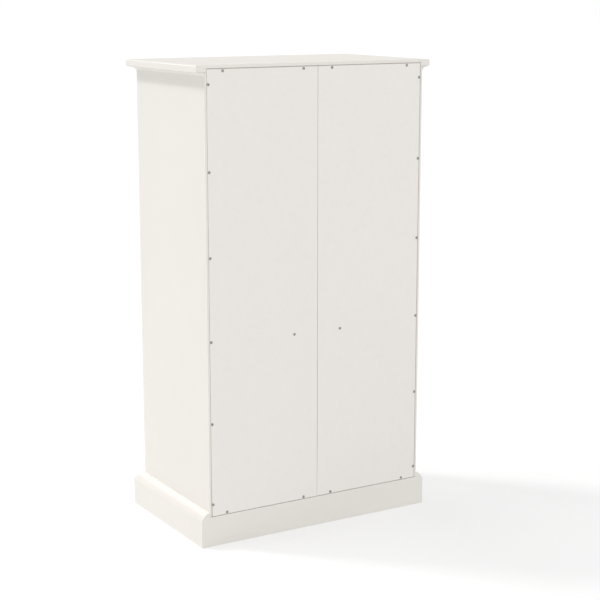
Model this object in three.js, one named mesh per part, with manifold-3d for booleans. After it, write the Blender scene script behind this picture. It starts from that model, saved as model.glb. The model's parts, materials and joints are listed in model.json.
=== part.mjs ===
// A tall jewelry armoire in painted wood: a pair of panelled doors over three drawers, a small
// cove under an overhanging top, a moulded base, and a two-piece screwed back.
//
// Millimetres, +Z up. The origin is on the floor, at the centre of the footprint.
// The front faces -Y, and left and right are those of a person who faces the front.

import * as THREE from 'three';
import { mergeVertices } from 'three/addons/utils/BufferGeometryUtils.js';
import Module from 'manifold-3d';

const wasm = await Module();
wasm.setup();

// ---------------------------------------------------------------- driving dimensions

const HEIGHT = 1067;
const WIDTH = 600; // over the top and the base moulding
const DEPTH = 359;
const OVERHANG = 20; // of the top and the base beyond the body, at the front and both sides
const GAP = 0.3; // between pieces that are glued, screwed or resting together

const TOP_THICKNESS = 15;
const TOP_ROUND = 4;
const TOP_CORNER = 7;

const SIDE_THICKNESS = 15;
const BOARD_THICKNESS = 15; // bottom and fixed shelf
const TONGUE_LAP = 2; // of a board's tongue into the board itself, where the two are joined
const FRAME_THICKNESS = 18; // face frame and doors
const STILE_WIDTH = 17.7;
const TOP_RAIL_BOTTOM = 1000;

const CROWN_BOTTOM = 1043.5;
const CROWN_PROJECTION = 16.5;
const CROWN_FILLET = 1; // the flat left above the cove
const CROWN_LEDGE = 2; // and below it

const BASE_FACE_HEIGHT = 59.5;
const BASE_HEIGHT = 80.5;
const BASE_LEDGE = 2;
const BASE_SHOULDER = 15.5; // outward place and height of the curve's control point
const BASE_SHOULDER_HEIGHT = 75;
const BASE_BACK_HEIGHT = 69;
const BASE_BACK_THICKNESS = 15;

const BACK_PANEL_THICKNESS = 3.5;
const BACK_PANEL_BOTTOM = 70.2;
const BACK_PANEL_TOP = 1058.5;
const BACK_PANEL_HALF = 274.6;
const BACK_PANEL_CLEARANCE = 0.7; // beside each sheet, in the side panels' rebates
const BACK_LIP_HEIGHT = 6.5; // of the top, left behind the back panels
const BACK_EDGE_STEPS = 40;
// The back's two sheets are cut and nailed by eye, so their edges stand off more in some
// places than in others: by how much, and how far up and over what part of the height.
const SEAM_STANDOFF = 0.42;
const SEAM_BOWS = [
  { by: 0.8, at: 0.18, over: 0.11 },
  { by: 0.22, at: 0.54, over: 0.05 },
  { by: 0.2, at: 0.74, over: 0.03 },
  { by: -0.22, at: 0.86, over: 0.07 },
  { by: -0.25, at: 0, over: 0.04 },
];
const OUTER_BOWS = {
  left: [{ by: 0.75, at: 0.5, over: 3 }],
  right: [{ by: 1.3, at: 0, over: 0.06 }, { by: -0.2, at: 0.5, over: 0.3 }],
};

const SHELF_BOTTOM = 455;
const UPPER_SHELF_BOTTOM = 640;
const UPPER_SHELF_THICKNESS = 12;
const UPPER_SHELF_FRONT = -118;
const DIVIDER_THICKNESS = 12;
const DRAWER_NAMES = ['lower', 'middle', 'upper'];
const DIVIDER_NAMES = ['lower', 'upper'];
const DRAWER_REVEAL = 1.8; // round each drawer front
const DRAWER_FRONT_THICKNESS = 16;
const DRAWER_WALL = 10;
const DRAWER_BOX_HEIGHT = 92;
const DRAWER_BOX_DEPTH = 293;
const DRAWER_BOTTOM_THICKNESS = 4;
const DRAWER_GROOVE_DEPTH = 5;
const DRAWER_GROOVE_RISE = 8;

const DOOR_REVEAL = 2; // above and below each door
const DOOR_MEETING_HALF = 1.5; // half the gap between the doors
const HINGE_REVEAL = 2.9; // between a door's edge and the face frame
const DOOR_STILE = 46;
const DOOR_TOP_RAIL = 52;
const DOOR_BOTTOM_RAIL = 60;
const DOOR_PANEL_THICKNESS = 6;
const DOOR_PANEL_SETBACK = 7.5;
const DOOR_GROOVE_DEPTH = 8;
const MIRROR_THICKNESS = 3;
const MIRROR_MARGIN = 6;

const HINGE_HEIGHT = 50;
const HINGE_KNUCKLES = 5;
const HINGE_LEAF = 1;
const HINGE_LEAF_DEPTH = 16;
const HINGE_AXIS_PROUD = 3.4; // of the pin's axis in front of the face
const HINGE_BARREL_RADIUS = 2.8;
const HINGE_BORE_RADIUS = 1.5;
const HINGE_PIN_RADIUS = 1.2;
const HINGE_BALL_RADIUS = 2.6;
const HINGE_END_DISTANCE = 70; // of a hinge's middle from the end of the door

// A turned knob as (radius, height) from its foot to the middle of its face.
const KNOB_PROFILE = [
  [0, GAP], [7.5, GAP], [7.5, 1.8], [5, 3.6], [5, 8], [8, 10.2],
  [12.4, 11.6], [13, 13.4], [11.8, 15.8], [8.4, 17.9], [0, 19],
];
const DOOR_KNOB_HEIGHT = 690;

const CUSHION_WIDTH = 210;
const CUSHION_DEPTH = 180;
const CUSHION_HEIGHT = 24;
const CUSHION_X = -130;
const CUSHION_Y = 40;

// ---------------------------------------------------------------- derived planes

const BODY_HALF = WIDTH / 2 - OVERHANG;
const REAR = DEPTH / 2;
const FACE = -DEPTH / 2 + OVERHANG;
const FRAME_BACK = FACE + FRAME_THICKNESS;
const TOP_BOTTOM = HEIGHT - TOP_THICKNESS;
const CARCASS_TOP = TOP_BOTTOM - GAP;
const SIDE_INNER = BODY_HALF - SIDE_THICKNESS;
const STILE_OUTER = SIDE_INNER - GAP;
const STILE_INNER = STILE_OUTER - STILE_WIDTH;
const BAY_HALF = STILE_INNER - GAP; // half the width of the boards that fit between the stiles
const BACK_PANEL_OUTSIDE = REAR - GAP;
const BACK_PANEL_INSIDE = BACK_PANEL_OUTSIDE - BACK_PANEL_THICKNESS;
const REBATE_FLOOR = BACK_PANEL_INSIDE - GAP;
const REBATE_HALF = BACK_PANEL_HALF + BACK_PANEL_CLEARANCE;
const BOARD_REAR = REBATE_FLOOR - GAP;

const BOTTOM_LOW = BASE_BACK_HEIGHT + GAP;
const BOTTOM_HIGH = BOTTOM_LOW + BOARD_THICKNESS;
const SHELF_HIGH = SHELF_BOTTOM + BOARD_THICKNESS;
const DRAWER_BAY = SHELF_BOTTOM - BOTTOM_HIGH;
const DIVIDERS_TOTAL = DIVIDER_NAMES.length * DIVIDER_THICKNESS;
const DRAWER_OPENING = (DRAWER_BAY - DIVIDERS_TOTAL) / DRAWER_NAMES.length;
const DRAWER_PITCH = DRAWER_OPENING + DIVIDER_THICKNESS;
const DRAWER_HALF = STILE_INNER - DRAWER_REVEAL;

const DOOR_LOW = SHELF_HIGH + DOOR_REVEAL;
const DOOR_HIGH = TOP_RAIL_BOTTOM - DOOR_REVEAL;
const DOOR_OUTER = STILE_INNER - HINGE_REVEAL;
const HINGE_AXIS_X = STILE_INNER - HINGE_REVEAL / 2;
const HINGE_AXIS_Y = FACE - HINGE_AXIS_PROUD;

// ---------------------------------------------------------------- finishes

const PAINT = { color: 0xf1efea, roughness: 0.42, metalness: 0 };
const PAINTED_BOARD = { color: 0xe6e3de, roughness: 0.55, metalness: 0 };
const DRAWER_WOOD = { color: 0xd8bf97, roughness: 0.6, metalness: 0 };
const NICKEL = { color: 0xb9b5ac, roughness: 0.3, metalness: 1 };
const MIRROR_GLASS = { color: 0xdfe5e6, roughness: 0.05, metalness: 1 };
const VELVET = { color: 0x8b8580, roughness: 1, metalness: 0 };

const armoire = new THREE.Group();

function add(name, geometry, finish) {
  const mesh = new THREE.Mesh(geometry, new THREE.MeshStandardMaterial(finish));
  mesh.name = name;
  armoire.add(mesh);
  return mesh;
}

// ---------------------------------------------------------------- solids

function block(x, y, z) {
  const geometry = new THREE.BoxGeometry(x[1] - x[0], y[1] - y[0], z[1] - z[0]);
  return geometry.translate((x[0] + x[1]) / 2, (y[0] + y[1]) / 2, (z[0] + z[1]) / 2);
}

function toSolid(geometry) {
  const bare = geometry.clone();
  bare.deleteAttribute('normal');
  bare.deleteAttribute('uv');
  const merged = mergeVertices(bare);
  return new wasm.Manifold(new wasm.Mesh({
    numProp: 3,
    vertProperties: new Float32Array(merged.attributes.position.array),
    triVerts: new Uint32Array(merged.index.array),
  }));
}

function toGeometry(solid) {
  const mesh = solid.getMesh();
  const geometry = new THREE.BufferGeometry();
  geometry.setAttribute('position', new THREE.BufferAttribute(mesh.vertProperties, 3));
  geometry.setIndex(new THREE.BufferAttribute(mesh.triVerts, 1));
  return geometry;
}

function cut(geometry, ...tools) {
  return toGeometry(tools.reduce((solid, tool) => solid.subtract(toSolid(tool)), toSolid(geometry)));
}

function join(geometry, ...others) {
  return toGeometry(others.reduce((solid, other) => solid.add(toSolid(other)), toSolid(geometry)));
}

// [low, high] on the right side of the cabinet, or its mirror image on the left.
function sided(side, low, high) {
  return side > 0 ? [low, high] : [-high, -low];
}

const SIDES = [
  { name: 'left', side: -1 },
  { name: 'right', side: 1 },
];

// A moulding: a section drawn as (outward, up) and run along the face of the body.
// A mitred end runs on by the section's own outward distance, less half the joint.
function moulding(section, origin, outward, from, to, mitredFrom, mitredTo) {
  const length = to - from;
  const geometry = new THREE.ExtrudeGeometry(section, { depth: length, bevelEnabled: false });
  const position = geometry.attributes.position;
  for (let i = 0; i < position.count; i += 1) {
    const atEnd = position.getZ(i) > length / 2;
    const mitred = atEnd ? mitredTo : mitredFrom;
    const reach = mitred ? position.getX(i) - GAP / Math.SQRT2 : 0;
    position.setZ(i, atEnd ? to + reach : from - reach);
  }
  const up = new THREE.Vector3(0, 0, 1);
  const along = new THREE.Vector3().crossVectors(outward, up);
  geometry.applyMatrix4(new THREE.Matrix4().makeBasis(outward, up, along).setPosition(origin));
  return geometry;
}

// The same moulding on the front and on both sides, mitred at the two front corners.
function addMouldings(name, section) {
  const front = new THREE.Vector3(0, -1, 0);
  const left = new THREE.Vector3(-1, 0, 0);
  const right = new THREE.Vector3(1, 0, 0);
  const frontFace = new THREE.Vector3(0, FACE, 0);
  const leftFace = new THREE.Vector3(-BODY_HALF, 0, 0);
  const rightFace = new THREE.Vector3(BODY_HALF, 0, 0);
  add(`${name}_front`, moulding(section, frontFace, front, -BODY_HALF, BODY_HALF, true, true), PAINT);
  add(`${name}_left`, moulding(section, leftFace, left, FACE, REAR, true, false), PAINT);
  add(`${name}_right`, moulding(section, rightFace, right, -REAR, -FACE, false, true), PAINT);
}

// ---------------------------------------------------------------- carcass

function topPanel() {
  const spare = 2 * TOP_ROUND; // the rear edge is left square, so its round-over is cut away
  const half = WIDTH / 2;
  const front = -DEPTH / 2;
  const outline = new THREE.Shape();
  outline.moveTo(half, REAR + spare);
  outline.lineTo(-half, REAR + spare);
  outline.lineTo(-half, front + TOP_CORNER);
  outline.absarc(-half + TOP_CORNER, front + TOP_CORNER, TOP_CORNER, Math.PI, 1.5 * Math.PI);
  outline.lineTo(half - TOP_CORNER, front);
  outline.absarc(half - TOP_CORNER, front + TOP_CORNER, TOP_CORNER, 1.5 * Math.PI, 2 * Math.PI);
  const slab = new THREE.ExtrudeGeometry(outline, {
    depth: TOP_THICKNESS,
    bevelThickness: TOP_ROUND,
    bevelSize: TOP_ROUND,
    bevelOffset: -TOP_ROUND,
    bevelSegments: 4,
    curveSegments: 5,
  });
  slab.translate(0, 0, TOP_BOTTOM - TOP_ROUND);
  const below = block([-WIDTH, WIDTH], [-DEPTH, DEPTH], [0, TOP_BOTTOM]); // left square there too
  const behind = block([-WIDTH, WIDTH], [REAR, REAR + 4 * spare], [0, 2 * HEIGHT]);
  const rebate = block([-REBATE_HALF, REBATE_HALF], [REBATE_FLOOR, REAR + spare],
    [0, HEIGHT - BACK_LIP_HEIGHT]);
  return cut(slab, below, behind, rebate);
}

function crownSection() {
  const section = new THREE.Shape();
  section.moveTo(GAP, CROWN_BOTTOM);
  section.lineTo(CROWN_LEDGE, CROWN_BOTTOM);
  section.absellipse(CROWN_PROJECTION, CROWN_BOTTOM, CROWN_PROJECTION - CROWN_LEDGE,
    CARCASS_TOP - CROWN_FILLET - CROWN_BOTTOM, Math.PI, Math.PI / 2, true);
  section.lineTo(CROWN_PROJECTION, CARCASS_TOP);
  section.lineTo(GAP, CARCASS_TOP);
  section.closePath();
  return section;
}

function baseSection() {
  const section = new THREE.Shape();
  section.moveTo(GAP, 0);
  section.lineTo(OVERHANG, 0);
  section.lineTo(OVERHANG, BASE_FACE_HEIGHT);
  section.quadraticCurveTo(BASE_SHOULDER, BASE_SHOULDER_HEIGHT, BASE_LEDGE, BASE_HEIGHT);
  section.lineTo(GAP, BASE_HEIGHT);
  section.closePath();
  return section;
}

function sidePanel(side) {
  const board = block(sided(side, SIDE_INNER, BODY_HALF), [FACE, REAR], [0, CARCASS_TOP]);
  const rebate = block(sided(side, 0, REBATE_HALF), [REBATE_FLOOR, 2 * REAR], [0, 2 * HEIGHT]);
  const notch = block(sided(side, 0, WIDTH), [REAR - BASE_BACK_THICKNESS - GAP, 2 * REAR],
    [-HEIGHT, BASE_BACK_HEIGHT + GAP]);
  return cut(board, rebate, notch);
}

// A board that fills the carcass behind the stiles, with a tongue that comes flush between them.
function tonguedBoard(low, high) {
  const board = block([-STILE_OUTER, STILE_OUTER], [FRAME_BACK + GAP, BOARD_REAR], [low, high]);
  const tongue = block([-BAY_HALF, BAY_HALF], [FACE, FRAME_BACK + TONGUE_LAP], [low, high]);
  return join(board, tongue);
}

// How far an edge stands off at a part of its height, as a sum of smooth bows.
function standoff(bows, t) {
  return bows.reduce((sum, { by, at, over }) => sum + by * Math.exp(-(((t - at) / over) ** 2)), 0);
}

// One sheet of the back. The sheets are only butted together along the middle.
function backPanel(name, side) {
  const outline = new THREE.Shape();
  const steps = Array.from({ length: BACK_EDGE_STEPS + 1 }, (_, i) => i / BACK_EDGE_STEPS);
  const height = (t) => BACK_PANEL_BOTTOM + t * (BACK_PANEL_TOP - BACK_PANEL_BOTTOM);
  const outer = steps.map((t) => [BACK_PANEL_HALF - standoff(OUTER_BOWS[name], t), height(t)]);
  const inner = steps.map((t) => [SEAM_STANDOFF + standoff(SEAM_BOWS, t), height(t)]);
  const [start, ...rest] = [...outer, ...inner.reverse()];
  outline.moveTo(...start);
  rest.forEach((point) => outline.lineTo(...point));
  outline.closePath();
  const geometry = new THREE.ExtrudeGeometry(outline, {
    depth: BACK_PANEL_THICKNESS,
    bevelEnabled: false,
  });
  geometry.translate(0, 0, -BACK_PANEL_THICKNESS / 2);
  geometry.rotateX(Math.PI / 2); // stands the sheet up
  if (side < 0) {
    geometry.rotateZ(Math.PI); // and turns the left one about the seam
  }
  return geometry.translate(0, BACK_PANEL_INSIDE + BACK_PANEL_THICKNESS / 2, 0);
}

add('top_panel', topPanel(), PAINT);
addMouldings('crown', crownSection());
addMouldings('base', baseSection());
add('base_back', block([-BODY_HALF + GAP, BODY_HALF - GAP], [REAR - BASE_BACK_THICKNESS, REAR],
  [0, BASE_BACK_HEIGHT]), PAINT);

for (const { name, side } of SIDES) {
  add(`side_panel_${name}`, sidePanel(side), PAINT);
  add(`face_stile_${name}`, block(sided(side, STILE_INNER, STILE_OUTER), [FACE, FRAME_BACK],
    [0, CARCASS_TOP]), PAINT);
  add(`back_panel_${name}`, backPanel(name, side), PAINTED_BOARD);
  add(`drawer_bay_liner_${name}`, block(sided(side, STILE_INNER, STILE_OUTER),
    [FRAME_BACK + GAP, BOARD_REAR], [BOTTOM_HIGH + GAP, SHELF_BOTTOM - GAP]), PAINT);
}
add('face_rail_top', block([-BAY_HALF, BAY_HALF], [FACE, FRAME_BACK], [TOP_RAIL_BOTTOM, CARCASS_TOP]),
  PAINT);
add('bottom_panel', tonguedBoard(BOTTOM_LOW, BOTTOM_HIGH), PAINT);
add('fixed_shelf', tonguedBoard(SHELF_BOTTOM, SHELF_HIGH), PAINT);
add('upper_shelf', block([-STILE_OUTER, STILE_OUTER], [UPPER_SHELF_FRONT, BOARD_REAR],
  [UPPER_SHELF_BOTTOM, UPPER_SHELF_BOTTOM + UPPER_SHELF_THICKNESS]), PAINT);
add('ring_cushion', block([CUSHION_X - CUSHION_WIDTH / 2, CUSHION_X + CUSHION_WIDTH / 2],
  [CUSHION_Y - CUSHION_DEPTH / 2, CUSHION_Y + CUSHION_DEPTH / 2],
  [SHELF_HIGH + GAP, SHELF_HIGH + GAP + CUSHION_HEIGHT]), VELVET);

// ---------------------------------------------------------------- knobs

// The knob's profile is turned, and laid with its height towards the front.
function knob(x, z) {
  const points = KNOB_PROFILE.map(([radius, height]) => new THREE.Vector2(radius, height));
  const geometry = new THREE.LatheGeometry(points, 20);
  geometry.rotateX(Math.PI);
  return geometry.translate(x, FACE, z);
}

// ---------------------------------------------------------------- drawers

function drawerFront(low) {
  const back = FACE + DRAWER_FRONT_THICKNESS;
  const board = block([-DRAWER_HALF, DRAWER_HALF], [FACE, back],
    [low + DRAWER_REVEAL, low + DRAWER_OPENING - DRAWER_REVEAL]);
  const groove = block([-DRAWER_HALF + DRAWER_WALL - DRAWER_GROOVE_DEPTH,
    DRAWER_HALF - DRAWER_WALL + DRAWER_GROOVE_DEPTH], [back - DRAWER_GROOVE_DEPTH, 0],
  [low + DRAWER_GROOVE_RISE - GAP, low + DRAWER_GROOVE_RISE + DRAWER_BOTTOM_THICKNESS + GAP]);
  return cut(board, groove);
}

// The two sides and the back, glued up as one, grooved for the bottom.
function drawerBox(low) {
  const front = FACE + DRAWER_FRONT_THICKNESS + GAP;
  const back = front + DRAWER_BOX_DEPTH;
  const inner = DRAWER_HALF - DRAWER_WALL;
  const walls = block([-DRAWER_HALF, DRAWER_HALF], [front, back],
    [low + 2 * GAP, low + DRAWER_BOX_HEIGHT]);
  const inside = block([-inner, inner], [front - DRAWER_WALL, back - DRAWER_WALL], [0, HEIGHT]);
  const groove = block([-inner - DRAWER_GROOVE_DEPTH, inner + DRAWER_GROOVE_DEPTH],
    [front - DRAWER_WALL, back - DRAWER_WALL + DRAWER_GROOVE_DEPTH],
    [low + DRAWER_GROOVE_RISE - GAP, low + DRAWER_GROOVE_RISE + DRAWER_BOTTOM_THICKNESS + GAP]);
  return cut(walls, inside, groove);
}

function drawerBottom(low) {
  const half = DRAWER_HALF - DRAWER_WALL + DRAWER_GROOVE_DEPTH - GAP;
  const front = FACE + DRAWER_FRONT_THICKNESS - DRAWER_GROOVE_DEPTH + GAP;
  const back = FACE + DRAWER_FRONT_THICKNESS + DRAWER_BOX_DEPTH - DRAWER_WALL + DRAWER_GROOVE_DEPTH;
  return block([-half, half], [front, back],
    [low + DRAWER_GROOVE_RISE, low + DRAWER_GROOVE_RISE + DRAWER_BOTTOM_THICKNESS]);
}

DRAWER_NAMES.forEach((name, i) => {
  const low = BOTTOM_HIGH + i * DRAWER_PITCH;
  add(`drawer_${name}_front`, drawerFront(low), PAINT);
  add(`drawer_${name}_box`, drawerBox(low), DRAWER_WOOD);
  add(`drawer_${name}_bottom`, drawerBottom(low), DRAWER_WOOD);
  add(`drawer_${name}_knob`, knob(0, low + DRAWER_OPENING / 2), NICKEL);
});

DIVIDER_NAMES.forEach((name, i) => {
  const low = BOTTOM_HIGH + DRAWER_OPENING + i * DRAWER_PITCH;
  add(`drawer_divider_${name}`, block([-BAY_HALF, BAY_HALF], [FACE, BOARD_REAR],
    [low, low + DIVIDER_THICKNESS]), PAINT);
});

// ---------------------------------------------------------------- doors

function doorPieces(name, side) {
  const stileInner = DOOR_OUTER - DOOR_STILE;
  const meetingInner = DOOR_MEETING_HALF + DOOR_STILE;
  const panelLow = DOOR_LOW + DOOR_BOTTOM_RAIL;
  const panelHigh = DOOR_HIGH - DOOR_TOP_RAIL;
  const panelFront = FACE + DOOR_PANEL_SETBACK;
  const panelBack = panelFront + DOOR_PANEL_THICKNESS;
  const depth = [FACE, FRAME_BACK];
  const groove = block(
    sided(side, meetingInner - DOOR_GROOVE_DEPTH, stileInner + DOOR_GROOVE_DEPTH),
    [panelFront - GAP, panelBack + GAP],
    [panelLow - DOOR_GROOVE_DEPTH, panelHigh + DOOR_GROOVE_DEPTH],
  );
  const railSpan = sided(side, meetingInner + GAP, stileInner - GAP);
  const housed = DOOR_GROOVE_DEPTH - 2 * GAP;
  const height = [DOOR_LOW, DOOR_HIGH];
  return {
    [`door_${name}_hinge_stile`]: cut(block(sided(side, stileInner, DOOR_OUTER), depth, height), groove),
    [`door_${name}_meeting_stile`]:
      cut(block(sided(side, DOOR_MEETING_HALF, meetingInner), depth, height), groove),
    [`door_${name}_top_rail`]: cut(block(railSpan, depth, [panelHigh, DOOR_HIGH]), groove),
    [`door_${name}_bottom_rail`]: cut(block(railSpan, depth, [DOOR_LOW, panelLow]), groove),
    [`door_${name}_panel`]: block(sided(side, meetingInner - housed, stileInner + housed),
      [panelFront, panelBack], [panelLow - housed, panelHigh + housed]),
  };
}

function doorMirror(side) {
  const panelBack = FACE + DOOR_PANEL_SETBACK + DOOR_PANEL_THICKNESS;
  return block(
    sided(side, DOOR_MEETING_HALF + DOOR_STILE + MIRROR_MARGIN, DOOR_OUTER - DOOR_STILE - MIRROR_MARGIN),
    [panelBack + GAP, panelBack + GAP + MIRROR_THICKNESS],
    [DOOR_LOW + DOOR_BOTTOM_RAIL + MIRROR_MARGIN, DOOR_HIGH - DOOR_TOP_RAIL - MIRROR_MARGIN],
  );
}

// One leaf of a butt hinge. The frame leaf has the first, third and last knuckles, and the
// door leaf has the ones between.
function hingeLeaf(side, middle, onFrame) {
  const pitch = HINGE_HEIGHT / HINGE_KNUCKLES;
  const bottom = middle - HINGE_HEIGHT / 2;
  const outer = onFrame ? STILE_INNER - GAP : DOOR_OUTER + GAP + HINGE_LEAF;
  const barrelRear = HINGE_AXIS_Y + HINGE_BARREL_RADIUS + GAP;
  let leaf = block(sided(side, outer - HINGE_LEAF, outer), [barrelRear, FACE + HINGE_LEAF_DEPTH],
    [bottom, bottom + HINGE_HEIGHT]);
  for (let i = onFrame ? 0 : 1; i < HINGE_KNUCKLES; i += 2) {
    const low = bottom + i * pitch + GAP / 2;
    const height = pitch - GAP;
    const ring = new THREE.Shape();
    ring.absarc(0, 0, HINGE_BARREL_RADIUS, 0, 2 * Math.PI);
    const bore = new THREE.Path();
    bore.absarc(0, 0, HINGE_BORE_RADIUS, 0, 2 * Math.PI);
    ring.holes.push(bore);
    const barrel = new THREE.ExtrudeGeometry(ring, {
      depth: height,
      bevelEnabled: false,
      curveSegments: 8,
    });
    barrel.translate(side * HINGE_AXIS_X, HINGE_AXIS_Y, low);
    const web = block(sided(side, outer - HINGE_LEAF, outer),
      [HINGE_AXIS_Y + HINGE_BORE_RADIUS + GAP, barrelRear + HINGE_LEAF], [low, low + height]);
    leaf = join(leaf, web, barrel);
  }
  return leaf;
}

// The pin, with a ball at each end that keeps it in the barrel.
function hingePin(side, middle) {
  const reach = HINGE_HEIGHT / 2 + GAP;
  const arc = 5;
  const points = [];
  for (const end of [-1, 1]) {
    const neck = Math.asin(HINGE_PIN_RADIUS / HINGE_BALL_RADIUS);
    const centre = end * (reach + HINGE_BALL_RADIUS * Math.cos(neck));
    for (let i = 0; i <= arc; i += 1) {
      const step = end < 0 ? i / arc : 1 - i / arc;
      const angle = step * (Math.PI - neck);
      points.push(new THREE.Vector2(HINGE_BALL_RADIUS * Math.sin(angle),
        centre + end * HINGE_BALL_RADIUS * Math.cos(angle)));
    }
  }
  const geometry = new THREE.LatheGeometry(points, 12);
  geometry.rotateX(Math.PI / 2);
  return geometry.translate(side * HINGE_AXIS_X, HINGE_AXIS_Y, middle);
}

for (const { name, side } of SIDES) {
  for (const [piece, geometry] of Object.entries(doorPieces(name, side))) {
    add(piece, geometry, PAINT);
  }
  add(`door_${name}_knob`, knob(side * (DOOR_MEETING_HALF + DOOR_STILE / 2), DOOR_KNOB_HEIGHT), NICKEL);
  const hinges = { lower: DOOR_LOW + HINGE_END_DISTANCE, upper: DOOR_HIGH - HINGE_END_DISTANCE };
  for (const [place, middle] of Object.entries(hinges)) {
    add(`hinge_${name}_${place}_frame_leaf`, hingeLeaf(side, middle, true), NICKEL);
    add(`hinge_${name}_${place}_door_leaf`, hingeLeaf(side, middle, false), NICKEL);
    add(`hinge_${name}_${place}_pin`, hingePin(side, middle), NICKEL);
  }
}
add('door_left_mirror', doorMirror(-1), MIRROR_GLASS);

export default armoire;
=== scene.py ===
import json
import math

import bpy
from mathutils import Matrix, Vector


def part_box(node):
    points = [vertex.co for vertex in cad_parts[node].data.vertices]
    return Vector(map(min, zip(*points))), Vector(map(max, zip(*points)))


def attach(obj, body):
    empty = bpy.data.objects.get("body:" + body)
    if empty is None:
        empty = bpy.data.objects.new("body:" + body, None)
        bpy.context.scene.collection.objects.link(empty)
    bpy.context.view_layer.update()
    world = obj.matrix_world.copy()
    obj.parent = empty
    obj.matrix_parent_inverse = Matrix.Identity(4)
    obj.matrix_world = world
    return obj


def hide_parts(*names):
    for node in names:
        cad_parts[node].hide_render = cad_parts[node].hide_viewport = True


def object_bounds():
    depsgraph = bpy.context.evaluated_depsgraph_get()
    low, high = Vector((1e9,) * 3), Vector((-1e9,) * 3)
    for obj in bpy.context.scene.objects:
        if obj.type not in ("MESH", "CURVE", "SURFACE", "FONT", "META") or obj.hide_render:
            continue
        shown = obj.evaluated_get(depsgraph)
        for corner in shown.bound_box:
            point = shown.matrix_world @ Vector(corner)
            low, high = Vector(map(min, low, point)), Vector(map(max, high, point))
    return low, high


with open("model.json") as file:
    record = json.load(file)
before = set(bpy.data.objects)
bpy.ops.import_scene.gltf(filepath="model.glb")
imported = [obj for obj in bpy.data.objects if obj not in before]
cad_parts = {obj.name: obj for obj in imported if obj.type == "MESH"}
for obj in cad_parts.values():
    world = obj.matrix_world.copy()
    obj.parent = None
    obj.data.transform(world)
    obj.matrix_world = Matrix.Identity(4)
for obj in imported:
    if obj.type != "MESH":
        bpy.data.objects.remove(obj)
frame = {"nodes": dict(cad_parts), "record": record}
CAD_LOW, CAD_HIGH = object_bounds()
MM = 0.001
SAME_PLACE = 1e-5  # coordinates closer than this are taken as equal
SIDES = {"left": -1, "right": 1}  # as seen from the front, with the way that each lies along X

# ---------------------------------------------------------------- node trees


class Wire:
    """One socket of a node tree. Sums on it are written as sums, and add their Math nodes."""

    def __init__(self, tree, socket):
        self.tree, self.socket = tree, socket

    def math(self, operation, first, second):
        return self.tree.node("ShaderNodeMath", {"operation": operation}, {0: first, 1: second})

    def __add__(self, other):
        return self.math("ADD", self, other)

    def __radd__(self, other):
        return self.math("ADD", other, self)

    def __sub__(self, other):
        return self.math("SUBTRACT", self, other)

    def __rsub__(self, other):
        return self.math("SUBTRACT", other, self)

    def __mul__(self, other):
        return self.math("MULTIPLY", self, other)

    def __rmul__(self, other):
        return self.math("MULTIPLY", other, self)

    def __gt__(self, other):
        return self.math("GREATER_THAN", self, other)


class Tree:
    """A node tree. All its nodes are added by the one method, node."""

    def __init__(self, node_tree):
        self.node_tree = node_tree

    def node(self, kind, settings=None, inputs=None, output=0):
        made = self.node_tree.nodes.new(kind)
        for name, value in (settings or {}).items():
            if name == "stops":
                self.set_stops(made.color_ramp, value)
            else:
                setattr(made, name, value)
        for name, value in (inputs or {}).items():
            self.feed(made.inputs[name], value)
        return Wire(self, made.outputs[output])

    def feed(self, socket, value):
        if isinstance(value, Wire):
            self.node_tree.links.new(value.socket, socket)
        else:
            socket.default_value = value

    def set_stops(self, ramp, stops):
        while len(ramp.elements) < len(stops):
            ramp.elements.new(0.5)
        for element, (position, shade) in zip(ramp.elements, stops):
            element.position = position
            element.color = (shade, shade, shade, 1)


class Finish(Tree):
    """A material: a Principled shader, its fixed values, and what feeds the rest."""

    def __init__(self, name, **fixed):
        self.material = bpy.data.materials.new(name)
        self.material.use_nodes = True
        super().__init__(self.material.node_tree)
        self.shader = self.node_tree.nodes["Principled BSDF"]
        for socket, value in fixed.items():
            self.shader.inputs[socket.replace("_", " ")].default_value = value
        self.place = self.node("ShaderNodeTexCoord", output="Object")

    def set(self, socket, value):
        self.feed(self.shader.inputs[socket], value)

    def stretched(self, scale):
        """Object coordinates with each axis scaled, so that a pattern runs along a board."""
        return self.node("ShaderNodeMapping", inputs={"Vector": self.place, "Scale": scale})

    def noise(self, where, scale, detail=3.0, roughness=0.5, distortion=0.0):
        return self.node("ShaderNodeTexNoise", inputs={
            "Vector": where, "Scale": scale, "Detail": detail, "Roughness": roughness,
            "Distortion": distortion})

    def ramp(self, value, stops):
        return self.node("ShaderNodeValToRGB", {"stops": stops}, {"Fac": value})

    def blend(self, factor, first, second):
        return self.node("ShaderNodeMix", {"data_type": "RGBA"},
                         {0: factor, 6: first, 7: second}, output=2)

    def bump(self, height, strength, distance):
        made = self.node("ShaderNodeBump", inputs={
            "Strength": strength, "Distance": distance, "Height": height})
        self.set("Normal", made)


def colour(red, green, blue):
    return (red, green, blue, 1)


# ---------------------------------------------------------------- finishes

ALONG = {  # how a grain that runs along X, Y or Z is stretched
    "x": (0.06, 1, 1),
    "y": (1, 0.06, 1),
    "z": (1, 1, 0.06),
}


def painted_wood(grain):
    """Sprayed satin paint. The sanded board's grain just shows through it."""
    made = Finish(f"satin_white_paint_{grain}", IOR=1.5)
    fibres = made.noise(made.stretched(ALONG[grain]), 260, 4, 0.6)
    spray = made.noise(made.place, 900, 2, 0.5)
    cloud = made.noise(made.place, 2.4, 3, 0.55)
    smudge = made.noise(made.place, 9, 5, 0.7, 0.6)
    tone = made.ramp(cloud, [(0.3, 0), (0.7, 1)])
    base = made.blend(tone, colour(0.815, 0.785, 0.738), colour(0.842, 0.813, 0.768))
    made.set("Base Color", made.blend(0.05 * fibres, base, colour(0.70, 0.665, 0.61)))
    made.set("Roughness", 0.34 + 0.14 * smudge + 0.05 * fibres)
    made.bump(0.7 * fibres + 0.3 * spray, 0.16, 0.0004)
    return made.material


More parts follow.
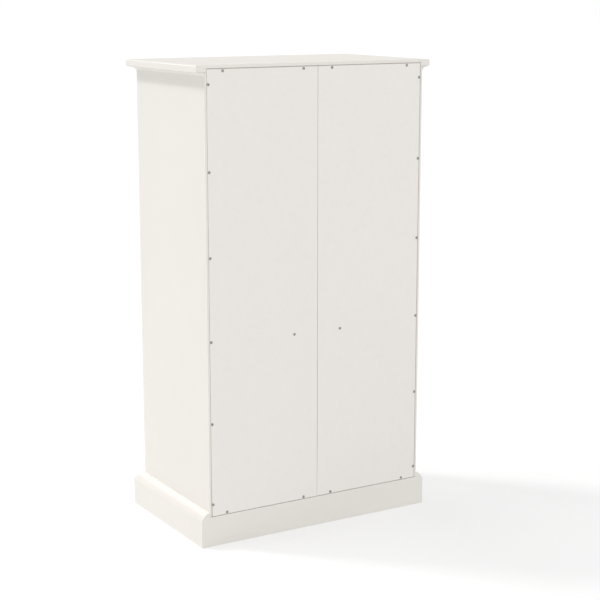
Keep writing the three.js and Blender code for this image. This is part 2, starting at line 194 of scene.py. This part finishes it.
def faced_hardboard():
    """Thin hardboard with a matt white face, faintly mottled where the fibres show."""
    made = Finish("white_faced_hardboard", IOR=1.45)
    fibres = made.noise(made.stretched((1, 1, 0.35)), 520, 4, 0.65)
    mottle = made.noise(made.place, 75, 5, 0.6, 0.4)
    cloud = made.noise(made.place, 3.1, 3, 0.5)
    base = made.blend(made.ramp(cloud, [(0.32, 0), (0.68, 1)]),
                      colour(0.861, 0.831, 0.790), colour(0.870, 0.840, 0.799))
    specks = made.ramp(mottle, [(0.5, 0), (0.78, 0.12)])
    made.set("Base Color", made.blend(specks, base, colour(0.72, 0.685, 0.64)))
    made.set("Roughness", 0.52 + 0.16 * mottle)
    made.bump(0.6 * fibres + 0.4 * mottle, 0.2, 0.0003)
    return made.material


def birch(name, grain):
    """Clear-lacquered birch: pale wood with fine darker lines along the grain."""
    made = Finish(name, IOR=1.5)
    along = made.stretched(ALONG[grain])
    lines = made.noise(along, 210, 6, 0.7, 0.3)
    bands = made.noise(along, 34, 3, 0.5, 1.2)
    pores = made.ramp(made.noise(along, 900, 2, 0.5), [(0.62, 0), (0.72, 1)])
    pale = made.blend(made.ramp(bands, [(0.3, 0), (0.7, 1)]),
                      colour(0.66, 0.50, 0.33), colour(0.76, 0.61, 0.43))
    lined = made.blend(made.ramp(lines, [(0.45, 0), (0.75, 0.55)]), pale, colour(0.52, 0.36, 0.21))
    made.set("Base Color", made.blend(0.35 * pores, lined, colour(0.40, 0.27, 0.16)))
    made.set("Roughness", 0.40 + 0.22 * lines)
    made.bump(lines - 0.5 * pores, 0.25, 0.0003)
    return made.material


def lined_plywood():
    """The drawer bottom: grey felt glued to its upper face, and bare plywood below."""
    made = Finish("felt_on_plywood", IOR=1.4, Sheen_Weight=0.25, Sheen_Roughness=0.5)
    fuzz = made.noise(made.place, 1500, 5, 0.75)
    tufts = made.noise(made.place, 160, 4, 0.65, 0.8)
    felt = made.blend(made.ramp(0.6 * tufts + 0.4 * fuzz, [(0.35, 0), (0.65, 1)]),
                      colour(0.135, 0.125, 0.122), colour(0.235, 0.222, 0.215))
    veins = made.noise(made.stretched(ALONG["x"]), 240, 5, 0.7, 0.3)
    ply = made.blend(veins, colour(0.70, 0.55, 0.37), colour(0.50, 0.35, 0.21))
    normal = made.node("ShaderNodeNewGeometry", output="Normal")
    upward = made.node("ShaderNodeSeparateXYZ", inputs={0: normal}, output=2) > 0.5
    made.set("Base Color", made.blend(upward, ply, felt))
    made.set("Roughness", 0.55 + 0.4 * upward)
    made.bump(fuzz + tufts, 0.5, 0.0006)
    return made.material


def velvet():
    """Grey velvet with a short pile that catches the light at its edges."""
    made = Finish("grey_velvet", IOR=1.4, Sheen_Weight=0.6, Sheen_Roughness=0.35)
    pile = made.noise(made.place, 2200, 4, 0.8)
    crush = made.noise(made.place, 45, 3, 0.6, 1.5)
    shade = made.blend(made.ramp(crush, [(0.35, 0), (0.65, 1)]),
                       colour(0.115, 0.108, 0.106), colour(0.20, 0.19, 0.186))
    made.set("Base Color", made.blend(0.3 * pile, shade, colour(0.30, 0.285, 0.28)))
    made.set("Roughness", 0.82 + 0.12 * pile)
    made.bump(pile + 0.6 * crush, 0.45, 0.0004)
    return made.material


def metal(name, light, dark, smooth, rough):
    """Plated metal: faint brushing, and a bloom that leaves some of it duller."""
    made = Finish(name, Metallic=1.0)
    brushing = made.noise(made.stretched((1, 1, 0.04)), 2600, 3, 0.6)
    bloom = made.noise(made.place, 190, 4, 0.6, 0.5)
    made.set("Base Color", made.blend(made.ramp(bloom, [(0.35, 0), (0.7, 1)]), light, dark))
    made.set("Roughness", smooth + (rough - smooth) * (0.6 * bloom + 0.4 * brushing))
    made.bump(brushing, 0.12, 0.0001)
    return made.material


def mirror_glass():
    """Silvered glass, with the faint film that any mirror has."""
    made = Finish("silvered_glass", Metallic=1.0)
    film = made.noise(made.place, 16, 5, 0.65, 0.7)
    made.set("Base Color", made.blend(film, colour(0.90, 0.92, 0.92), colour(0.84, 0.87, 0.87)))
    made.set("Roughness", 0.015 + 0.05 * made.ramp(film, [(0.55, 0), (0.8, 1)]))
    return made.material


def white_plastic():
    """Moulded plastic of the catches and the shelf pegs."""
    made = Finish("moulded_white_plastic", IOR=1.48)
    grain = made.noise(made.place, 1800, 2, 0.5)
    haze = made.noise(made.place, 60, 3, 0.5)
    made.set("Base Color", made.blend(haze, colour(0.74, 0.73, 0.70), colour(0.80, 0.79, 0.77)))
    made.set("Roughness", 0.38 + 0.12 * haze)
    made.bump(grain, 0.2, 0.0001)
    return made.material


PAINT = {grain: painted_wood(grain) for grain in ALONG}
HARDBOARD = faced_hardboard()
BIRCH = {grain: birch(f"lacquered_birch_{grain}", grain) for grain in ALONG}
LINED_PLYWOOD = lined_plywood()
VELVET = velvet()
NICKEL = metal("satin_nickel", colour(0.70, 0.67, 0.62), colour(0.60, 0.57, 0.52), 0.22, 0.42)
ZINC = metal("zinc_plating", colour(0.46, 0.45, 0.43), colour(0.33, 0.32, 0.31), 0.32, 0.6)
BRASS = metal("polished_brass", colour(0.83, 0.62, 0.30), colour(0.68, 0.48, 0.21), 0.16, 0.36)
MIRROR = mirror_glass()
PLASTIC = white_plastic()

# ---------------------------------------------------------------- the workbench

WELD = 0.001 * MM


def deselect():
    if bpy.context.object and bpy.context.object.mode != "OBJECT":
        bpy.ops.object.mode_set(mode="OBJECT")
    bpy.ops.object.select_all(action="DESELECT")


def work_on(piece):
    deselect()
    piece.select_set(True)
    bpy.context.view_layer.objects.active = piece


def edit(piece):
    """Opens the mesh for editing, with all of it selected."""
    work_on(piece)
    bpy.ops.object.mode_set(mode="EDIT")
    bpy.ops.mesh.select_mode(type="FACE")
    bpy.ops.mesh.select_all(action="SELECT")


def pick(piece, faces=None, edges=None):
    """Selects, in edit mode, the faces or the edges that a test on the mesh allows."""
    bpy.ops.mesh.select_all(action="DESELECT")
    bpy.ops.object.mode_set(mode="OBJECT")
    mesh = piece.data
    for face in mesh.polygons:
        face.select = bool(faces and faces(face))
    if edges:
        for line in mesh.edges:
            line.select = edges(*(mesh.vertices[i].co for i in line.vertices))
    bpy.ops.object.mode_set(mode="EDIT")


def extrude(x, y, z):
    """Draws the selected faces out, and leaves the new ones selected."""
    bpy.ops.mesh.extrude_region_move(TRANSFORM_OT_translate={"value": (x, y, z)})


def done():
    bpy.ops.object.mode_set(mode="OBJECT")


def settle(piece):
    """Puts the object at the origin, unturned and unscaled, with its place in its mesh."""
    work_on(piece)
    bpy.ops.object.transform_apply(location=True, rotation=True, scale=True)


def smooth(piece, degrees=35):
    work_on(piece)
    bpy.ops.object.shade_smooth_by_angle(angle=math.radians(degrees))


def modify(piece, kind, **settings):
    work_on(piece)
    added = piece.modifiers.new(kind.title(), kind)
    for name, value in settings.items():
        setattr(added, name, value)
    bpy.ops.object.modifier_apply(modifier=added.name)


def ease_edges(piece, width, segments, degrees):
    """Rounds every edge that is sharper than so many degrees."""
    modify(piece, "BEVEL", width=width, segments=segments, limit_method="ANGLE",
           angle_limit=math.radians(degrees))


def cut(piece, cutter):
    modify(piece, "BOOLEAN", object=cutter, operation="DIFFERENCE", solver="EXACT")
    discard(cutter)


def outward(piece):
    """Welds the mesh and turns all its faces outwards."""
    edit(piece)
    bpy.ops.mesh.remove_doubles(threshold=WELD)
    bpy.ops.mesh.normals_make_consistent(inside=False)
    done()


def finish_piece(piece, name, material, body):
    """Names the piece, gives it its material, and lets it ride on its body."""
    piece.name = name
    piece.data.name = name
    piece.data.materials.clear()
    piece.data.materials.append(material)
    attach(piece, body)


def block(low, high):
    """A rectangular block between two corners."""
    deselect()
    low, high = Vector(low), Vector(high)
    bpy.ops.mesh.primitive_cube_add(size=1, location=(low + high) / 2)
    piece = bpy.context.object
    piece.scale = high - low
    settle(piece)
    return piece


def arc(middle, reach, degrees):
    """Points of a profile along an ellipse, as (radius, height)."""
    return [(middle[0] + reach[0] * math.cos(math.radians(a)),
             middle[1] + reach[1] * math.sin(math.radians(a))) for a in degrees]


def turned(profile, sides):
    """A turned piece that stands on +Z, from (radius, height) pairs, extruded step by step."""
    deselect()
    radius, height = profile[0]
    bpy.ops.mesh.primitive_circle_add(vertices=sides, radius=radius, fill_type="NGON",
                                      location=(0, 0, height))
    piece = bpy.context.object
    settle(piece)
    edit(piece)
    for next_radius, next_height in profile[1:]:
        extrude(0, 0, next_height - height)
        shrink = next_radius / radius
        bpy.ops.transform.resize(value=(shrink, shrink, 1))
        radius, height = next_radius, next_height
    done()
    outward(piece)
    return piece


def copy_of(piece, name):
    """A copy with a mesh of its own."""
    made = bpy.data.objects.new(name, piece.data.copy())
    bpy.context.scene.collection.objects.link(made)
    return made


def discard(*pieces):
    for piece in pieces:
        bpy.data.objects.remove(piece)


# ---------------------------------------------------------------- boards, mirror and hinge leaves

EDGE = {  # how far each painted board's edges are rounded, where not as the rest
    "base_back": 0.12 * MM,
    "base_left": 0.12 * MM,
    "base_right": 0.12 * MM,
    "base_front": 0.12 * MM,
    "crown_left": 0.35 * MM,
    "crown_right": 0.35 * MM,
    "crown_front": 0.35 * MM,
    "top_panel": 0.5 * MM,
    "face_stile_left": 0.3 * MM,
    "face_stile_right": 0.3 * MM,
    "face_rail_top": 0.3 * MM,
    "drawer_lower_front": 2 * MM,
    "drawer_middle_front": 2 * MM,
    "drawer_upper_front": 2 * MM,
}
USUAL_EDGE = 0.7 * MM
JOINT_GAP = 0.35 * MM
FLAT_WITHIN = 0.5  # degrees: neighbouring faces that turn less are one flat face


def body_of(node):
    """The body that a node belongs to in the record."""
    return next(body for body, members in frame["record"]["behaviour"]["bodies"].items()
                if node in members)


def close_joints(piece):
    """Carries the ends of the base boards right up to each other: glue and paint fill the joint."""
    _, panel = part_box("side_panel_right")
    for vertex in piece.data.vertices:
        if abs(abs(vertex.co.x) - panel.x) < JOINT_GAP:
            vertex.co.x = math.copysign(panel.x, vertex.co.x)


def eased(node, name, material, width, steps=3):
    """The node's own shape as one clean piece, with its sharp edges taken off."""
    piece = copy_of(frame["nodes"][node], name)
    if node.startswith("base"):
        close_joints(piece)
    outward(piece)
    edit(piece)
    bpy.ops.mesh.dissolve_limited(angle_limit=math.radians(FLAT_WITHIN))
    done()
    ease_edges(piece, width, steps, 50)
    smooth(piece)
    modify(piece, "WEIGHTED_NORMAL", keep_sharp=True)
    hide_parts(node)
    finish_piece(piece, name, material, body_of(node))


def grain_of(node):
    """A board's grain runs along its longest side."""
    low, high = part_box(node)
    size = high - low
    return "xyz"[max(range(3), key=lambda axis: size[axis])]


def finish_boards():
    """Every node but the knobs and the ring cushion, each with its slot's finish."""
    slots = {row["node"]: row["material_slot"] for row in frame["record"]["subparts"]}
    for node, slot in slots.items():
        if slot == "white_paint":
            eased(node, f"{node}_painted", PAINT[grain_of(node)],
                  EDGE.get(node, USUAL_EDGE))
        elif slot == "drawer_wood":
            eased(node, f"{node}_lacquered", BIRCH["y"], 1.2 * MM)
        elif slot == "drawer_lining":
            eased(node, f"{node}_lined", LINED_PLYWOOD, 0.3 * MM, 1)
        elif slot == "back_board":
            eased(node, f"{node}_faced", HARDBOARD, 0.25 * MM, 2)
        elif slot == "mirror":
            eased(node, f"{node}_silvered", MIRROR, 1.2 * MM, 2)
        elif slot == "nickel" and not node.endswith("knob"):
            eased(node, f"{node}_plated", NICKEL, 0.15 * MM, 1)


finish_boards()

# ---------------------------------------------------------------- knobs

KNOB_STANDOFF = 0.3 * MM  # the height that the profile starts at, so its foot meets the wood


def knob_profile():
    """A foot, a hollow neck, and a head with a rim and a dome, from the foot out."""
    foot = [(7.5, 0.3), (7.5, 1.2), (7.2, 1.6), (6.4, 1.9)]
    neck = arc((4.8, 5.6), (-1.5, 3.6), range(-75, 76, 15))
    rim = [(8.2, 10.0), (10.6, 10.7), (12.2, 11.8), (12.9, 13.0), (13.0, 14.0)]
    dome = arc((0, 14.0), (13.0, 5.0), range(10, 90, 10))
    crown = [(0.6, 19.0)]
    return [(r * MM, h * MM) for r, h in foot + neck + rim + dome + crown]


def knobs():
    pattern = turned(knob_profile(), 48)
    smooth(pattern, 40)
    for node in frame["nodes"]:
        if not node.endswith("knob"):
            continue
        low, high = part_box(node)
        piece = copy_of(pattern, f"{node}_turned")
        piece.rotation_euler = (math.radians(90), 0, 0)
        piece.location = ((low.x + high.x) / 2, high.y + KNOB_STANDOFF, (low.z + high.z) / 2)
        settle(piece)
        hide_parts(node)
        finish_piece(piece, f"{node}_turned", NICKEL, body_of(node))
    discard(pattern)


knobs()

# ---------------------------------------------------------------- back screws

SCREW_RADIUS = 3.3 * MM
SCREW_RISE = 1.3 * MM
SCREW_ROWS = 6  # down each edge


def cross_cutter(reach, width, depth, top):
    """Two crossed blades, joined, that cut a cross recess down from a height."""
    arms = [block((-reach, -width, top - depth), (reach, width, top + depth)),
            block((-width, -reach, top - depth), (width, reach, top + depth))]
    modify(arms[0], "BOOLEAN", object=arms[1], operation="UNION", solver="EXACT")
    discard(arms[1])
    return arms[0]


def screw_pattern(radius, rise):
    """A low pan head with a cross recess, standing on +Z."""
    dome = arc((0, rise * 0.35), (radius, rise * 0.65), (0, 20, 40, 58, 72))
    head = turned([(radius * 0.96, -rise * 0.6), (radius, 0)] + dome, 24)
    cut(head, cross_cutter(radius * 0.6, radius * 0.13, rise * 0.75, rise))
    smooth(head, 40)
    return head


def back_screw_places():
    """(x, z) of the screws: down both edges, along the top and the bottom, and into the shelf."""
    board_low, board_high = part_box("back_panel_right")
    shelf_low, shelf_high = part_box("fixed_shelf")
    bottom_low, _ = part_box("bottom_panel")
    top_low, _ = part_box("top_panel")
    edge_x = board_high.x - 3.5 * MM
    first, last = board_low.z + 27 * MM, board_high.z - 32 * MM
    places = []
    for way in SIDES.values():
        for i in range(SCREW_ROWS):
            places.append((way * edge_x, first + (last - first) * i / (SCREW_ROWS - 1)))
        for x in (36.5 * MM, 236.5 * MM):
            places.append((way * x, top_low.z + 2.5 * MM))
            places.append((way * x, bottom_low.z + 5 * MM))
        places.append((way * 60.5 * MM, (shelf_low.z + shelf_high.z) / 2))
    return places


def back_screws():
    """Each is turned about its own axis by a different amount, as a driver leaves it."""
    pattern = screw_pattern(SCREW_RADIUS, SCREW_RISE)
    _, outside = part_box("back_panel_right")
    for number, (x, z) in enumerate(back_screw_places(), 1):
        piece = copy_of(pattern, "screw")
        piece.rotation_euler = (0, 0, 0.4 * number)
        settle(piece)
        piece.rotation_euler = (math.radians(-90), 0, 0)
        piece.location = (x, outside.y - 0.2 * MM, z)
        settle(piece)
        finish_piece(piece, f"back_screw_{number:02d}", ZINC, "carcass")
    discard(pattern)


back_screws()

# ---------------------------------------------------------------- back seam tape


def seam_tape():
    """Paper tape that holds the two back boards together, stuck inside, over the seam."""
    low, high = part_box("back_panel_right")
    half, thickness, glue, short = 14 * MM, 0.25 * MM, 0.1 * MM, 2 * MM
    tape = block((-half, low.y - glue - thickness, low.z + short),
                 (half, low.y - glue, high.z - short))
    ease_edges(tape, 0.08 * MM, 1, 30)
    smooth(tape)
    finish_piece(tape, "back_seam_tape", HARDBOARD, "carcass")


seam_tape()

# ---------------------------------------------------------------- hinge screws


def flush_screw_pattern(radius):
    """A countersunk head that ends a hair above the leaf it is sunk in, standing on +Z."""
    head = turned([(radius * 0.5, -0.9 * MM), (radius, 0.03 * MM), (radius * 0.95, 0.1 * MM)], 20)
    cut(head, cross_cutter(radius * 0.62, radius * 0.14, 0.5 * MM, 0.1 * MM))
    smooth(head, 30)
    return head


def hinge_screws():
    """Three in each leaf, the middle one set back from the others."""
    pattern = flush_screw_pattern(1.9 * MM)
    leaf_face = 1.3 * MM  # from its board's edge: the leaf is 1 mm thick, over a gap of 0.3
    for side, way in SIDES.items():
        stile_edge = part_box(f"face_stile_{side}")[0 if way > 0 else 1].x
        door_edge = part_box(f"door_{side}_hinge_stile")[1 if way > 0 else 0].x
        leaves = {
            "frame": (stile_edge - way * leaf_face, -way, "carcass"),
            "door": (door_edge + way * leaf_face, way, f"door_{side}"),
        }
        for level in ("lower", "upper"):
            for leaf, (x, facing, body) in leaves.items():
                low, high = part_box(f"hinge_{side}_{level}_{leaf}_leaf")
                middle = (low.z + high.z) / 2
                for i, rise in enumerate((-17 * MM, 0, 17 * MM)):
                    piece = copy_of(pattern, "screw")
                    piece.rotation_euler = (0, facing * math.radians(90), 0)
                    piece.location = (x, high.y - (5 if i == 1 else 8.5) * MM, middle + rise)
                    settle(piece)
                    finish_piece(piece, f"hinge_{side}_{level}_{leaf}_screw_{i + 1}", NICKEL,
                                 body)
    discard(pattern)


hinge_screws()

# ---------------------------------------------------------------- necklace hooks

HOOKS = 5
HOOK_PITCH = 27 * MM


def necklace_hook_pattern():
    """A shoulder hook that hangs from the origin: a collar, a shank, and wire bent towards +Y."""
    collar = turned([(1.2 * MM, -2.2 * MM), (2.6 * MM, -1.9 * MM), (4.2 * MM, -1.1 * MM),
                     (4.5 * MM, -0.5 * MM), (4.3 * MM, -0.02 * MM)], 20)
    deselect()
    wire, start, reach, bend, tip = 1.2 * MM, -1.5 * MM, 7 * MM, 5 * MM, 5 * MM
    bpy.ops.mesh.primitive_circle_add(vertices=12, radius=wire, fill_type="NGON",
                                      location=(0, 0, start))
    shank = bpy.context.object
    settle(shank)
    edit(shank)
    extrude(0, 0, -reach)
    bpy.ops.mesh.spin(steps=9, angle=math.radians(-105), axis=(1, 0, 0),
                      center=(0, bend, start - reach))
    extrude(0, tip, tip * math.tan(math.radians(15)))
    bpy.ops.transform.resize(value=(1.3, 1.3, 1.3))
    extrude(0, 1.2 * MM, 0.3 * MM)
    bpy.ops.transform.resize(value=(0.55, 0.55, 0.55))
    done()
    outward(shank)
    work_on(collar)
    shank.select_set(True)
    bpy.ops.object.join()
    smooth(collar, 40)
    return collar


def necklace_hooks():
    """A row inside the right-hand door, on its top rail: each reaches out and then up."""
    pattern = necklace_hook_pattern()
    rail_low, rail_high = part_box("door_right_top_rail")
    middle = (rail_low + rail_high) / 2
    for number in range(HOOKS):
        piece = copy_of(pattern, "hook")
        piece.rotation_euler = (math.radians(90), 0, 0)
        x = middle.x + (number - (HOOKS - 1) / 2) * HOOK_PITCH
        piece.location = (x, rail_high.y, middle.z - 6 * MM)
        settle(piece)
        finish_piece(piece, f"necklace_hook_{number + 1}", BRASS, "door_right")
    discard(pattern)


necklace_hooks()

# ---------------------------------------------------------------- shelf pegs


def shelf_pegs():
    """A flat tongue that the shelf lies on, with a web under it that tapers to the side panel."""
    shelf_low, shelf_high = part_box("upper_shelf")
    panel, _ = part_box("side_panel_right")
    tongue, thickness, half, web = 9 * MM, 2 * MM, 4 * MM, 7 * MM
    top, wall = shelf_low.z - 0.15 * MM, panel.x - 0.1 * MM
    for side, way in SIDES.items():
        for place, y in (("front", shelf_low.y + 30 * MM), ("rear", shelf_high.y - 40 * MM)):
            ends = sorted((way * wall, way * (wall - tongue)))
            peg = block((ends[0], y - half, top - thickness), (ends[1], y + half, top))
            edit(peg)
            pick(peg, faces=lambda face: face.normal.z < -0.9)
            bpy.ops.mesh.inset(thickness=1.2 * MM)
            extrude(0, 0, -web)
            bpy.ops.transform.resize(value=(0.25, 0.8, 1))
            bpy.ops.transform.translate(value=(way * 2.2 * MM, 0, 0))
            done()
            outward(peg)
            ease_edges(peg, 0.5 * MM, 2, 40)
            smooth(peg)
            finish_piece(peg, f"shelf_peg_{side}_{place}", PLASTIC, "carcass")


shelf_pegs()

# ---------------------------------------------------------------- door catches


def catch_body(x):
    """A magnetic catch: its foot is screwed behind the face rail, and its head hangs below."""
    rail_low, rail_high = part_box("face_rail_top")
    half, head_drop, foot_rise, depth = 19 * MM, 15 * MM, 13 * MM, 13 * MM
    front = rail_high.y + 1.6 * MM
    piece = block((x - half, front, rail_low.z - head_drop),
                  (x + half, front + depth, rail_low.z + foot_rise))
    edit(piece)
    bpy.ops.mesh.bisect(plane_co=(0, 0, rail_low.z + 0.8 * MM), plane_no=(0, 0, 1))
    pick(piece, faces=lambda face: face.normal.y < -0.9 and face.center.z > rail_low.z)
    extrude(0, -1.4 * MM, 0)
    pick(piece, faces=lambda face: face.normal.y < -0.9 and face.center.z < rail_low.z)
    bpy.ops.mesh.inset(thickness=2.2 * MM)
    extrude(0, 0.8 * MM, 0)
    done()
    outward(piece)
    ease_edges(piece, 0.6 * MM, 2, 50)
    smooth(piece)
    return piece


def strike_plate(x, side):
    """The small steel plate on the back of a door, which its catch holds."""
    _, door_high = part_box(f"door_{side}_meeting_stile")
    half_width, half_height, thickness = 12 * MM, 5 * MM, 0.8 * MM
    z = door_high.z - 8 * MM
    plate = block((x - half_width, door_high.y + 0.02 * MM, z - half_height),
                  (x + half_width, door_high.y + thickness, z + half_height))
    edit(plate)
    pick(plate, edges=lambda a, b: abs(a.y - b.y) > 0.5 * thickness)
    bpy.ops.mesh.bevel(offset=2.5 * MM, segments=4, affect="EDGES")
    done()
    ease_edges(plate, 0.15 * MM, 1, 60)
    smooth(plate)
    return plate


def door_catches():
    for side in SIDES:
        stile_low, stile_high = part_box(f"door_{side}_meeting_stile")
        x = (stile_low.x + stile_high.x) / 2
        finish_piece(catch_body(x), f"door_catch_{side}", PLASTIC, "carcass")
        finish_piece(strike_plate(x, side), f"door_{side}_strike", ZINC,
                     f"door_{side}")


door_catches()

# ---------------------------------------------------------------- door panel beads


def panel_bead(side):
    """The small moulding that frames a door's panel: flat outside, rounded down to the panel."""
    stile_low, stile_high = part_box(f"door_{side}_hinge_stile")
    meeting_low, meeting_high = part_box(f"door_{side}_meeting_stile")
    _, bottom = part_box(f"door_{side}_bottom_rail")
    top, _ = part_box(f"door_{side}_top_rail")
    panel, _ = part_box(f"door_{side}_panel")
    left = min(stile_high.x, meeting_high.x)
    right = max(stile_low.x, meeting_low.x)
    clear, width, height, round_over = 0.25 * MM, 9 * MM, 5.2 * MM, 4.6 * MM
    front = panel.y - clear - height
    piece = block((left + clear, front, bottom.z + clear),
                  (right - clear, panel.y - clear, top.z - clear))
    edit(piece)
    pick(piece, faces=lambda face: abs(face.normal.y) > 0.9)
    bpy.ops.mesh.inset(thickness=width, use_individual=True)
    bpy.ops.mesh.bridge_edge_loops()
    inset = clear + width - SAME_PLACE

    def on_inner_front(corner):
        return (abs(corner.y - front) < SAME_PLACE
                and left + inset < corner.x < right - inset
                and bottom.z + inset < corner.z < top.z - inset)

    pick(piece, edges=lambda a, b: on_inner_front(a) and on_inner_front(b))
    bpy.ops.mesh.bevel(offset=round_over, segments=6, profile=0.5, affect="EDGES")
    done()
    outward(piece)
    smooth(piece, 30)
    finish_piece(piece, f"door_{side}_panel_bead", PAINT["z"], f"door_{side}")


for door_side in SIDES:
    panel_bead(door_side)

# ---------------------------------------------------------------- ring cushion

ROLLS = 8
ROLL_SLIT = 0.01  # of a roll's pitch, left free at each side
ROLL_END = 1 * MM  # left free at each end
ROLL_DIP = 0.9 * MM
ROLL_SWAY = 0.25 * MM


def ring_roll(low, high, number):
    """One roll: foam in velvet, round on top, eased at its ends, with a slightly uneven line."""
    half = (high.y - low.y) / 2
    roll = block(low, high)
    edit(roll)
    pick(roll, edges=lambda a, b: min(a.z, b.z) > high.z - SAME_PLACE and abs(a.x - b.x) > half)
    bpy.ops.mesh.bevel(offset=half * 0.94, segments=9, profile=0.5, affect="EDGES")
    pick(roll, edges=lambda a, b: abs(a.x - b.x) > half)
    bpy.ops.mesh.subdivide(number_cuts=18)
    done()
    ease_edges(roll, 2.2 * MM, 3, 60)
    for vertex in roll.data.vertices:
        along = (vertex.co.x - low.x) / (high.x - low.x)
        rise = (vertex.co.z - low.z) / (high.z - low.z)
        vertex.co.z -= rise * ROLL_DIP * (0.5 + 0.5 * math.sin(11 * along + 1.7 * number))
        vertex.co.y += rise * ROLL_SWAY * math.sin(7 * along + 2.3 * number)
    return roll


def ring_cushion():
    """Velvet ring rolls side by side: rings are held in the slits between them."""
    low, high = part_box("ring_cushion")
    pitch = (high.y - low.y) / ROLLS
    made = []
    for i in range(ROLLS):
        start = Vector((low.x + ROLL_END, low.y + (i + ROLL_SLIT) * pitch, low.z))
        end = Vector((high.x - ROLL_END, low.y + (i + 1 - ROLL_SLIT) * pitch, high.z))
        made.append(ring_roll(start, end, i))
    work_on(made[0])
    for piece in made[1:]:
        piece.select_set(True)
    bpy.ops.object.join()
    cushion = made[0]
    smooth(cushion, 60)
    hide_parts("ring_cushion")
    finish_piece(cushion, "ring_cushion_rolls", VELVET, "carcass")


ring_cushion()

# ---------------------------------------------------------------- room, light and camera

AWAY_FROM_WINDOW = (-0.6, 0.8, 0)
WALL_BY_WINDOW = 0.48
WALL_OPPOSITE = 1.02
SKY_OVERHEAD = 0.79  # of what it is at the horizon
WINDOW = {  # azimuth, elevation, strength and spread of the parts of a wide window
    "window_left": (12, 33, 0.14, 26),
    "window_middle": (43, 50.8, 0.35, 8),
    "window_right": (64, 58, 0.18, 22),
}
WINDOW_TINT = (1.0, 0.995, 0.985)
WHITE = colour(1, 1, 1)
FLOOR_SIZE = 80
FLOOR_GLOW = 0.565

VIEW_AZIMUTH = 149.14
VIEW_ELEVATION = 11.68
VIEW_DISTANCE = 3.533
VIEW_LENS = 89.7
SENSOR_WIDTH = 36
AIM_ASIDE = Vector((-0.042, 0.032, -0.029))  # of the point aimed at, from the armoire's middle


def towards(azimuth, elevation):
    """The direction from the armoire towards a place: azimuth 0 is in front, 90 to the right."""
    turn, rise = math.radians(azimuth), math.radians(elevation)
    return Vector((math.sin(turn) * math.cos(rise), -math.cos(turn) * math.cos(rise),
                   math.sin(rise)))


def studio_floor():
    """A pale floor that glows a little, so that it stays white away from the shadow."""
    bpy.ops.mesh.primitive_plane_add(size=FLOOR_SIZE, location=(0, 0, 0))
    floor = bpy.context.object
    floor.name = "studio_floor"
    made = Finish("studio_floor", IOR=1.4, Emission_Strength=FLOOR_GLOW, Emission_Color=WHITE)
    cloud = made.noise(made.place, 0.8, 2, 0.5)
    made.set("Base Color", made.blend(cloud, colour(0.395, 0.395, 0.396),
                                      colour(0.405, 0.405, 0.406)))
    made.set("Roughness", 0.7 + 0.1 * cloud)
    floor.data.materials.append(made.material)


def sky():
    """Light from all round: dimmer by the window and overhead, and plain white to the camera."""
    world = bpy.data.worlds.new("studio")
    bpy.context.scene.world = world
    world.use_nodes = True
    tree = Tree(world.node_tree)
    direction = tree.node("ShaderNodeTexCoord", output="Generated")
    upward = tree.node("ShaderNodeSeparateXYZ", inputs={"Vector": direction}, output=2)
    away = tree.node("ShaderNodeVectorMath", {"operation": "DOT_PRODUCT"},
                     {0: direction, 1: AWAY_FROM_WINDOW}, output="Value")
    around = tree.node("ShaderNodeMapRange", inputs={
        "Value": away, "From Min": -0.8, "From Max": 0.8,
        "To Min": WALL_BY_WINDOW, "To Max": WALL_OPPOSITE})
    overhead = tree.node("ShaderNodeMapRange", inputs={
        "Value": upward, "From Min": 0.0, "From Max": 0.9, "To Min": 1.0, "To Max": SKY_OVERHEAD})
    light = around * overhead
    seen = tree.node("ShaderNodeLightPath", output="Is Camera Ray")
    background = world.node_tree.nodes["Background"]
    background.inputs["Color"].default_value = WHITE
    tree.feed(background.inputs["Strength"], light + (1.0 - light) * seen)


def window():
    for name, (azimuth, elevation, strength, spread) in WINDOW.items():
        lamp = bpy.data.lights.new(name, "SUN")
        lamp.energy = strength * math.pi
        lamp.angle = math.radians(spread)
        lamp.color = WINDOW_TINT
        light = bpy.data.objects.new(name, lamp)
        bpy.context.scene.collection.objects.link(light)
        light.rotation_mode = "QUATERNION"
        light.rotation_quaternion = towards(azimuth, elevation).to_track_quat("Z", "Y")


def camera():
    eye = bpy.data.objects.new("camera", bpy.data.cameras.new("camera"))
    bpy.context.scene.collection.objects.link(eye)
    middle = (CAD_LOW + CAD_HIGH) / 2
    back = towards(VIEW_AZIMUTH, VIEW_ELEVATION)
    eye.location = middle + AIM_ASIDE + VIEW_DISTANCE * back
    eye.rotation_mode = "QUATERNION"
    eye.rotation_quaternion = back.to_track_quat("Z", "Y")
    eye.data.lens = VIEW_LENS
    eye.data.sensor_width = SENSOR_WIDTH
    bpy.context.scene.camera = eye


deselect()
studio_floor()
sky()
window()
camera()
bpy.context.scene.view_settings.view_transform = "Standard"
